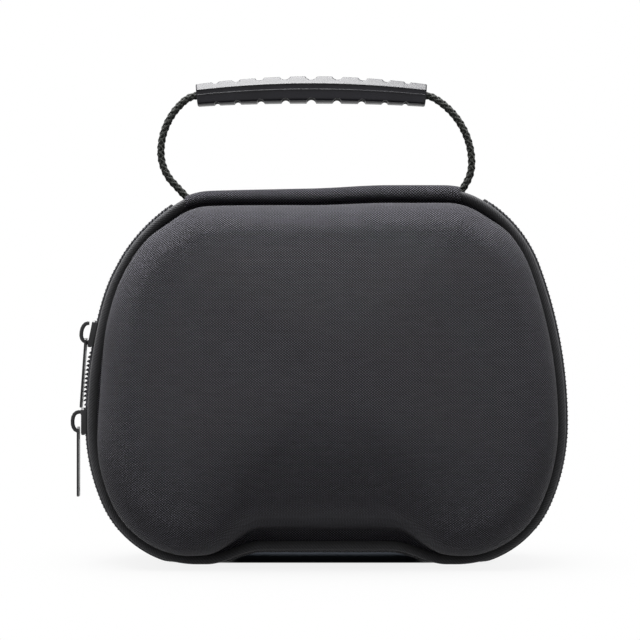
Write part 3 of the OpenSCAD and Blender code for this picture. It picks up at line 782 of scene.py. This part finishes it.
def cloth_strip(line, x_from, x_to, steps, thickness, wave=None):
    """A strip of cloth that runs across the case, with the section line of (depth, height) points"""
    places = [(x_from, -depth, height) for depth, height in line]
    bm, run = carried_strip(places, ((x_to - x_from) / steps, 0, 0), steps)
    chart_cloth(bm, lambda point: (point.co.x, point[run]))
    if wave:
        for point in bm.verts:
            point.co += wave(point.co)
    face_outwards(bm)
    if sum((f.normal.z for f in bm.faces)) < 0:
        bmesh.ops.reverse_faces(bm, faces=bm.faces)
    bmesh.ops.solidify(bm, geom=bm.faces[:], thickness=thickness)
    return bm


def falls_off(x):
    """How far the top corner has come down from the level top"""
    radius, past = 30, max(0, abs(x) - top_half)
    return radius - math.sqrt(radius * radius - past * past)


def sewn_unevenly(point):
    """How the spine wanders: its top runs up a little to the right and its lips aren't straight"""
    top = max(0, (point.z - 144) / 4)
    lip = max(0, (144 - point.z) / 1.4)
    top *= 0.2 * math.sin(point.x / 17 + 0.6) + 0.009 * point.x
    return Vector((0, 0, top + lip * 0.2 * math.sin(point.x / 11) - falls_off(point.x)))


def hinged(bm, name, material, node, height):
    """Makes a piece that bends as the lid opens, about the seam at a height"""
    piece = finished(bm, name, [material])
    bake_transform(piece, "back_half", "lid", start=(0, 0.004, height), end=(0, -0.008, height))
    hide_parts(node)


lip_r, lip_out, spine_top = 3.2, 11.1, 148.0
line = [(10.15, 142.6), (10.6, 142.9), (10.9, 143.4), (11.06, 144.1)]
line += [(lip_out - lip_r + lip_r * math.cos(a), spine_top - lip_r + lip_r * math.sin(a))
         for a in [math.pi / 2 * k / 10 for k in range(11)]]
line += [(t, spine_top) for t in (6, 4, 2, 0.7)]
line += [(-t, z) for t, z in reversed(line)]
hinged(cloth_strip(line, -56.1, 52.2, 108, 0.9, sewn_unevenly), "spine_band", nylon, "spine",
       0.147)

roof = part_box("inner_hinge_tape")[1].z
line = [(9 - 18 * k / 24, roof * 1000) for k in range(25)]
hinged(cloth_strip(line, -43.9, 43.9, 60, 0.5), "inner_seam_tape", herringbone, "inner_hinge_tape",
       roof)

# Bar tacks
# Each end of the rope is sewn into the seam under a folded block of tape, with dense zigzag
# stitches across it.
thread, tree, shader = new_finish("sewing_thread", 0.55, 0.15)
two_tone(tree, shader, rough_noise(tree, on_piece(tree), 2500), (18, 18, 20), (62, 62, 66))


def box_of(node):
    """The low and the high corner of a node, in millimetres about the middle of the case"""
    return [corner * 1000 - case_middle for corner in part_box(node)]


def tack_top(x):
    """Height of the folded block, which follows the edge of the seam"""
    seam_top, sewn_in = 146.5, 0.8
    return min(high.z, seam_top - falls_off(x) - sewn_in)


stitches, stitch_half = 26, 3.6
for name, node in [("left_tack", "left_bar_tack"), ("right_tack", "right_bar_tack")]:
    low, high = box_of(node)
    bm = bmesh.new()
    add_block(bm, (low + high) / 2, high - low)
    bmesh.ops.subdivide_edges(bm, edges=[e for e in bm.edges if abs((e.verts[0].co - e.verts[1].co).x) > 1],
                              cuts=7, use_grid_fill=True)
    for point in bm.verts:
        if point.co.z > high.z - 0.1:
            point.co.z = tack_top(point.co.x)
    ease(bm, [e for e in bm.edges if e.calc_face_angle(0) > 1], 0.45, 3)
    chart_cloth(bm, lambda point: (point.co.x + point.co.y, point.co.z))
    fitted(bm, name, [herringbone], "back_half", node)

    bm = bmesh.new()
    places = [low.x + 0.9 + (high.x - low.x - 1.8) * k / stitches for k in range(stitches + 1)]
    draw_wire(bm, [(x, stitch_half * (-1) ** k, tack_top(x) + 0.06) for k, x in enumerate(places)], 0.17)
    face_outwards(bm)
    fitted(bm, name + "_zigzag", [thread], "back_half", None)

# Handle rope
# A braided polyester cord of eight yarns round a core. Four yarns wind one way and four the other,
# each passing over and under the others. It runs through the whole grip.
braid, tree, shader = new_finish("braided_yarn", 0.7, 0.2)
two_tone(tree, shader, rough_noise(tree, on_piece(tree), 1800, 4), (6, 7, 6), (50, 52, 48))
relief(tree, shader, rough_noise(tree, on_piece(tree), 4000), 0.05)

grip_middle, grip_bend, grip_turn = Vector((-6, 0, -278.6)), 465.0, 5.5756


def bow(centre, radius, start, end, steps):
    """Points on a bend in the plane of the handle, each with the way to its outer side"""
    turns = [math.radians(start + (end - start) * k / steps) for k in range(1, steps + 1)]
    return [(Vector((centre[0] + radius * math.cos(a), 0, centre[1] + radius * math.sin(a))),
             Vector((math.cos(a), 0, math.sin(a)))) for a in turns]


def rope_side(side, end_x, bow_x, bow_z):
    """The rope's line from the grip's mouth over its bend to its end in the seam, on the right"""
    mouth_r, stub, end_z = 9.0, 8.1, 149.8
    p = Vector((side * end_x + bow_x, end_z + bow_z))
    turn = math.radians(grip_turn)
    mouth = Vector((side * grip_middle.x + (grip_bend - mouth_r) * math.sin(turn),
                    grip_middle.z + (grip_bend - mouth_r) * math.cos(turn)))
    d = p - mouth
    up_r = (d.dot(d) - mouth_r ** 2) / (2 * (d.x - mouth_r))
    up_turn = math.degrees(math.atan2(-d.y, up_r - d.x))
    low_r = (bow_x ** 2 + bow_z ** 2) / (2 * bow_x)
    low = math.asin(bow_z / low_r)
    line = (bow(mouth, mouth_r, 90 - grip_turn, up_turn, 12)
            + bow((p.x - up_r, p.y), up_r, up_turn, 0, 60)
            + bow((p.x - low_r, p.y), low_r, 0, -math.degrees(low), 30))
    line.append((Vector((side * end_x - stub * math.sin(low), 0, end_z - stub * math.cos(low))), line[-1][1]))
    return [(Vector((side * point.x, 0, point.z)), Vector((side * way.x, 0, way.z))) for point, way in line]


rope_line = (list(reversed(rope_side(-1, -60.62, 4.8, 12.2)))
             + bow((grip_middle.x, grip_middle.z), grip_bend, 90 + grip_turn, 90 - grip_turn, 200)
             + rope_side(1, 55.22, 2.1, 7.7))
reach = [0.0]
for (a, _), (b, _) in zip(rope_line, rope_line[1:]):
    reach.append(reach[-1] + (b - a).length)


def on_rope(length):
    """The rope's middle at a length from its left end, and the way to its outer side"""
    k = next((i for i, r in enumerate(reach[1:]) if r >= length), len(reach) - 2)
    share = (length - reach[k]) / (reach[k + 1] - reach[k])
    return (rope_line[k][0].lerp(rope_line[k + 1][0], share),
            rope_line[k][1].lerp(rope_line[k + 1][1], share).normalized())


def add_yarn(points, thickness=1.0):
    """Adds a yarn along points to the cord, so many times as thick as the others"""
    line = yarns.splines.new("POLY")
    line.points.add(len(points) - 1)
    line.points.foreach_set("co", [c for p in points for c in (*((p + case_middle) / 1000), 1)])
    line.points.foreach_set("radius", [thickness] * len(points))


lay, station, yarn_r, wound_r, over_under, core_thickness = 10.4, 0.27, 0.52, 0.93, 0.15, 1.6
yarns = bpy.data.curves.new("handle_cord", "CURVE")
yarns.dimensions = "3D"
yarns.bevel_depth = yarn_r / 1000
yarns.bevel_resolution = 1
yarns.use_fill_caps = True
stations = [station * k for k in range(int(reach[-1] / station) + 1)]
rope_places = [on_rope(length) for length in stations]
for way in (1, -1):
    for yarn in range(4):
        points = []
        for length, (middle, outer) in zip(stations, rope_places):
            wind = way * 2 * math.pi * length / lay + yarn * math.pi / 2
            radius = wound_r + way * over_under * math.cos(8 * math.pi * length / lay)
            points.append(middle + outer * radius * math.cos(wind) + Vector((0, radius * math.sin(wind), 0)))
        add_yarn(points)
add_yarn([middle for middle, _ in rope_places[::4]], core_thickness)
drawn = bpy.data.objects.new("cord_curve", yarns)
bpy.context.scene.collection.objects.link(drawn)
mesh = bpy.data.meshes.new_from_object(drawn.evaluated_get(bpy.context.evaluated_depsgraph_get()))
bpy.data.objects.remove(drawn)
mesh.name = "handle_cord"
mesh.materials.clear()
mesh.materials.append(braid)
mesh.shade_smooth()
rope = bpy.data.objects.new("handle_cord", mesh)
bpy.context.scene.collection.objects.link(rope)
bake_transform(rope, "back_half", "handle", start=(0, 0, 0.1455), end=(0, 0, 0.153))
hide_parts("handle_rope")

# Grip
# A soft rubber sleeve, moulded in one piece and threaded on the rope. It is bent to the hand and
# thickest in its middle, with a wide bevel above, a lip and a fine rib along each side, and round
# notches moulded across it above and below.
rubber, tree, shader = new_finish("grip_rubber", 0.34, gloss=0.2)
speckle = rough_noise(tree, on_piece(tree), 2200, 3)
patch = rough_noise(tree, on_piece(tree), 90, 2)
two_tone(tree, shader, calc(tree, "MULTIPLY", speckle, patch), (16, 16, 19), (44, 43, 49))
relief(tree, shader, speckle, 0.06)
# the hollows of the lower notches are darker and matt: painted shade in these recesses, on a real rougher
# skin
painted_shade_rubber, tree, shader = new_finish("painted_shade_rubber", 0.85)
two_tone(tree, shader, rough_noise(tree, on_piece(tree), 2200, 3), (8, 8, 9), (24, 24, 26))

half_wide, half_high, grip_half, end_half = 6, 5.15, 45.25, 44.95
upper_notch_r, lower_notch_r = 2.66, 1.89
side = [(0.5, 1), (0.93, 0.46), (1, 0.4), (0.94, 0.34), (0.94, 0.0), (0.98, -0.06), (0.94, -0.12),
        (0.93, -0.74), (0.82, -0.88), (0.5, -0.99), (0.3, -1)]
bm = bmesh.new()
points = [bm.verts.new((0, w * half_wide, h * half_high)) for w, h in side]
points += [bm.verts.new((0, -w * half_wide, h * half_high)) for w, h in reversed(side)]
section = bm.faces.new(points)
bmesh.ops.bevel(bm, geom=section.verts[:], offset=0.22, offset_type="OFFSET", affect="VERTICES",
                segments=3, profile=0.5, material=-1)
bmesh.ops.subdivide_edges(bm, edges=[e for e in bm.edges if e.calc_length() > 1.2], cuts=3)
bmesh.ops.translate(bm, verts=bm.verts, vec=(0, 0, grip_bend))
bmesh.ops.rotate(bm, verts=bm.verts, cent=(0, 0, 0),
                 matrix=Matrix.Rotation(math.radians(-grip_turn), 3, "Y"))
bmesh.ops.spin(bm, geom=whole_mesh(bm), cent=(0, 0, 0), axis=(0, 1, 0), angle=math.radians(2 * grip_turn),
               steps=420, use_merge=False, use_duplicate=False)
# the notches as (place along the grip, size), smaller and closer together towards its ends
notches = [(2 * grip_half * (0.1138 * k - 0.00063 * k ** 3), 1 - 0.45 * abs(k) / 4) for k in range(-4, 5)]
painted_shade_hollows = set()
for point in bm.verts:
    turn = math.atan2(point.co.x, point.co.z)
    along, high, wide = turn * grip_bend, math.hypot(point.co.x, point.co.z) - grip_bend, point.co.y
    half = (8.5 + 1.8 * math.cos(math.pi / 2 * min(1, abs(along / grip_half)))) / 2
    size = half / half_high * (1 - 0.05 * min(1, max(0, abs(along) - end_half) / 0.3))
    high, wide = high * size, wide * size
    for at, share in notches:
        off = along - at
        r = upper_notch_r * share
        if abs(off) < r:
            high = min(high, half + 1.26 * share - math.sqrt(r * r - off * off))
        r = lower_notch_r * share
        if abs(off) < r:
            notch_floor = -half - 0.12 + math.sqrt(r * r - off * off)
            if high < notch_floor - 0.3:
                painted_shade_hollows.add(point)
            high = max(high, notch_floor)
    point.co = Vector((grip_middle.x + (grip_bend + high) * math.sin(turn), wide,
                       grip_middle.z + (grip_bend + high) * math.cos(turn)))
face_outwards(bm)
# the faces deep in the lower notches take the darker rubber: painted shade
for face in bm.faces:
    face.material_index = int(painted_shade_hollows.issuperset(face.verts))
fitted(bm, "rubber_grip", [rubber, painted_shade_rubber], "handle", "handle_grip", 32)

# Sliders
# Two cast sliders, enamelled black. Each has two plates, a divider between them at its open end and
# flanges that hold the coils, and a sprung hook over its outer plate that lets a pull be clipped in.
enamel, tree, shader = new_finish("black_enamel", 0.3, gloss=0.35)
grit = rough_noise(tree, on_piece(tree), 1100, 3)
two_tone(tree, shader, grit, (6, 6, 7), (26, 26, 28))
relief(tree, shader, grit, 0.03)


def cast_copy(node, home):
    """A merged copy of a node, in millimetres in the slider's own place: -X outwards, Z along the zip"""
    bm = bmesh.new()
    bm.from_mesh(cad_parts[node].data)
    bmesh.ops.scale(bm, verts=bm.verts, vec=(1000, 1000, 1000))
    bmesh.ops.translate(bm, verts=bm.verts, vec=-case_middle)
    bmesh.ops.transform(bm, verts=bm.verts, matrix=home.inverted())
    bmesh.ops.remove_doubles(bm, verts=bm.verts, dist=0.002)
    bmesh.ops.dissolve_limit(bm, angle_limit=math.radians(1), verts=bm.verts, edges=bm.edges)
    return bm


def round_off(bm, width, segments):
    """Rounds the sharp edges of a casting or a stamping"""
    ease(bm, [e for e in bm.edges if e.calc_face_angle(0) > math.radians(25)], width, segments, True)


def slider_home(bend, radius, rise):
    """Where a slider sits on the left side: on one of the bends, turned by its rise over the centre"""
    return (Matrix.Translation((-bend[0], 0, bend[1])) @ Matrix.Rotation(math.asin(rise / radius), 4, "Y")
            @ Matrix.Translation((-radius, 0, 0)))


plate_outside, flange_y = -1.549, 4.35
flipped = Matrix.Diagonal((1, 1, -1, 1))
blocks = [((-1.6, 0, -3.6), (0.9, 3.2, 2), 0.25)]
blocks += [((-0.3, side * flange_y, 0), (2.4, 0.3, 9.4), 0.1) for side in (-1, 1)]
hook = [(-2.9, 3.85), (-3.5, 3.75), (-4.3, 3.3), (-4.9, 2.4), (-5.25, 1.2), (-5.3, -0.2), (-5.1, -1.6),
        (-4.6, -2.7), (-3.8, -3.4), (-2.9, -3.68), (-2, -3.7), (-1.3, -3.65)]
nose = [(-1.2, -3.8), (-1.55, -4.3), (-1.95, -4.6)]
for name, home, turn, body, node in [
        ("upper_zip_slider", slider_home(bends[2], 180, 35), 1, "upper_slider_body", "upper_slider"),
        ("lower_zip_slider", slider_home(bends[1], 80, 0.6), -1, "lower_slider_body", "lower_slider")]:
    bm = cast_copy(node, home @ flipped if turn < 0 else home)
    bmesh.ops.bisect_plane(bm, geom=whole_mesh(bm), dist=0.0001, plane_co=(plate_outside, 0, 0),
                           plane_no=(-1, 0, 0), clear_outer=True)
    close_holes(bm, 0)
    round_off(bm, 0.16, 2)
    face_outwards(bm)
    if bm.calc_volume(signed=True) < 0:
        bmesh.ops.reverse_faces(bm, faces=bm.faces)
    # the foot that the hook is riveted in, and the flanges that fold down past the coils
    for middle, size, width in blocks:
        ease(bm, add_block(bm, middle, size), width, 2)
    # the free end of the hook stands just off the plate at the closed end, and the pull hangs low in it
    wires, tip = bmesh.new(), [] if turn > 0 else [(-2.5, 3.85)]
    draw_wire(wires, [(x, 0, z) for x, z in tip + hook], (0.8, 0.45), 10)
    draw_wire(wires, [(x, 0, z) for x, z in nose], (0.9, 0.33), 10)
    lay_down(bm, pattern_mesh(wires, "hook"), Matrix.Identity(4))
    if turn < 0:
        mirrored(bm, (1, 1, -1))
    bmesh.ops.transform(bm, verts=bm.verts, matrix=home)
    fitted(bm, name, [enamel], body, node, 35)

# Pulls
# A stamped steel tab for each slider, enamelled black, its eye clipped into the hook. It hangs from
# the foot of the hook and has a small hole at its lower end for a cord.
for name, body, node in [("upper_pull_tab", "upper_pull_body", "upper_pull"),
                         ("lower_pull_tab", "lower_pull_body", "lower_pull")]:
    bm = cast_copy(node, Matrix.Identity(4))
    round_off(bm, 0.18, 3)
    fitted(bm, name, [enamel], body, node, 35)

# Mesh pocket
# A net of warp-knitted polyester is stretched over the inner face of the lid and sewn down round its
# edge. Its mouth is bound with a gathered elastic, under which a cable is pushed in.
net, tree, shader = new_finish("knitted_net", 0.6, 0.2)
two_tone(tree, shader, rough_noise(tree, on_piece(tree), 2600, 2), (14, 14, 16), (52, 52, 57))

low, high = box_of("mesh_pocket")
net_half, meshes, net_wire, net_depth = 77, 80, 0.62, 6.5
bm = bmesh.new()
trace_zip_line(bm)
first_line(bm, 9.35, net_depth, arch_rise)
edge_line = [v.co.copy() for v in bm.verts]
bm.free()


def inside_pocket(x, z):
    """How far a place lies inside the sewn edge of the pocket, in millimetres"""
    near = min(edge_line, key=lambda p: (p.x - x) ** 2 + (p.z - z) ** 2)
    gap = math.hypot(near.x - x, near.z - z)
    towards = (near.x - x) * near.x + (near.z - z) * (near.z - 78)
    return gap if towards > 0 else -gap


bm = bmesh.new()
bmesh.ops.create_grid(bm, x_segments=meshes, y_segments=meshes, size=net_half)
for angle, axis in ((45, "Z"), (90, "X")):
    bmesh.ops.rotate(bm, verts=bm.verts, cent=(0, 0, 0), matrix=Matrix.Rotation(math.radians(angle), 3, axis))
bmesh.ops.translate(bm, verts=bm.verts, vec=(0, -net_depth, 52))
beyond = [v for v in bm.verts if v.co.z > high.z + 0.5 or inside_pocket(v.co.x, v.co.z) < 0.3]
bmesh.ops.delete(bm, geom=beyond, context="VERTS")
bmesh.ops.delete(bm, geom=[v for v in bm.verts if not v.link_faces], context="VERTS")
bmesh.ops.wireframe(bm, faces=bm.faces[:], thickness=net_wire, use_replace=True, use_boundary=True,
                    use_even_offset=True)
pocket = fitted(bm, "pocket_net", [net], "lid", "mesh_pocket", 80)

bm = bmesh.new()
trace_zip_line(bm)
edges = first_line(bm, 9.2, 6.05, arch_rise)
for inset, depth in [(0, 0.85), (2.4, 0.1), (0, -1.05), (-2.4, 0.1)]:
    edges = next_line(bm, edges, inset, depth)
bmesh.ops.remove_doubles(bm, verts=bm.verts, dist=0.0005)
bmesh.ops.bisect_plane(bm, geom=whole_mesh(bm), dist=0.0001, plane_co=(0, 0, high.z + 1), plane_no=(0, 0, 1),
                       clear_outer=True)
close_holes(bm, 8)
face_outwards(bm)
chart_cloth(bm, lambda point: (point.co.x + point.co.z, point.co.y))
hem = fitted(bm, "pocket_hem", [herringbone], "lid", None)
wide = (high.x - low.x) / 1000

# ribbed elastic, gathered a little on its sewn edge
knit, tree, shader = new_finish("ribbed_elastic", 0.8, 0.15)
across, up, chart = pattern_lines(tree, 0.9, 0.55)
loop = ribs(tree, calc(tree, "MULTIPLY_ADD", up, 0.5, across))
height = calc(tree, "MULTIPLY_ADD", loop, 0.35, calc(tree, "MULTIPLY", ribs(tree, up), 0.65))
two_tone(tree, shader, uneven(tree, height, chart, 1200), (10, 10, 11), (62, 62, 66))
relief(tree, shader, height, 0.12)


def webbing(line, wide_low, wide_high, thickness, ripple=0.0):
    """A band of webbing: a section line of (x, depth) places, carried up from one edge to the other"""
    steps = 12
    bm, run = carried_strip([(x, -depth, wide_low) for x, depth in line],
                            (0, 0, (wide_high - wide_low) / steps), steps)
    chart_cloth(bm, lambda point: (point[run], point.co.z))
    for point in bm.verts:
        edge = min(abs(point.co.z - wide_low), abs(point.co.z - wide_high))
        point.co.y += ripple * math.sin(point.co.x / 1.6) * (0.4 + 0.6 * min(1, edge / 3))
    face_outwards(bm)
    bmesh.ops.solidify(bm, geom=bm.faces[:], thickness=thickness)
    return bm


low, high = box_of("pocket_elastic")
band_half, band_depth = high.x - 0.3, 6.9
line = [(-band_half + 2 * band_half * k / 240, band_depth) for k in range(241)]
fitted(webbing(line, low.z + 0.15, high.z - 0.15, 0.75, 0.11), "pocket_elastic_band", [knit], "lid",
       "pocket_elastic")

# Controller strap
# A band of ribbed elastic webbing over the middle of the back half. Each end lies on a patch of tape
# that is glued to the lining, and both are sewn down with a crossed box of stitches.
low, high = box_of("controller_strap")
foot, top = high.y - 0.6, low.y + 0.6
half_line = [(0, top), (8, top), (16, top + 0.05), (21, top + 0.3), (24, top + 0.9), (26.5, top + 2.2),
             (29, top + 4.3), (32, top + 7.1), (35, top + 9.9), (37, top + 11.7), (38.6, top + 12.9),
             (40, top + 13.6), (41.6, foot), (44, foot), (48, foot), (high.x, foot)]
line = [(-x, -y) for x, y in reversed(half_line[1:])] + [(x, -y) for x, y in half_line]
fitted(webbing(line, low.z, high.z, 1.1), "elastic_strap", [knit], "back_half", "controller_strap",
       50)

# a crossed box of stitches as its corners, and one stitch as (share of its length, height)
wide, tall, stitch_length, stitch_r, on_band = 4.6, 9.0, 1.4, 0.16, foot - 0.62
box = [(-wide, -tall), (wide, -tall), (wide, tall), (-wide, tall), (-wide, -tall), (wide, tall),
       (wide, -tall), (-wide, tall)]
stitch = [(0.1, -0.15), (0.22, 0.08), (0.5, 0.13), (0.78, 0.08), (0.9, -0.15)]
for name, node in [("left_patch", "left_strap_patch"), ("right_patch", "right_strap_patch")]:
    low, high = box_of(node)
    middle = (low + high) / 2
    bm = bmesh.new()
    ease(bm, add_block(bm, middle, high - low), 0.3, 3)
    chart_cloth(bm, lambda point: (point.co.x + point.co.y, point.co.z))
    fitted(bm, name, [herringbone], "back_half", node)

    bm = bmesh.new()
    for (ax, az), (bx, bz) in zip(box, box[1:]):
        count = max(4, round(math.hypot(bx - ax, bz - az) / stitch_length))
        for k in range(count):
            shares = [((k + share) / count, lift) for share, lift in stitch]
            draw_wire(bm, [(middle.x + ax + (bx - ax) * q, on_band - lift, middle.z + az + (bz - az) * q)
                           for q, lift in shares], stitch_r, 5)
    face_outwards(bm)
    fitted(bm, name + "_stitches", [thread], "back_half", None)
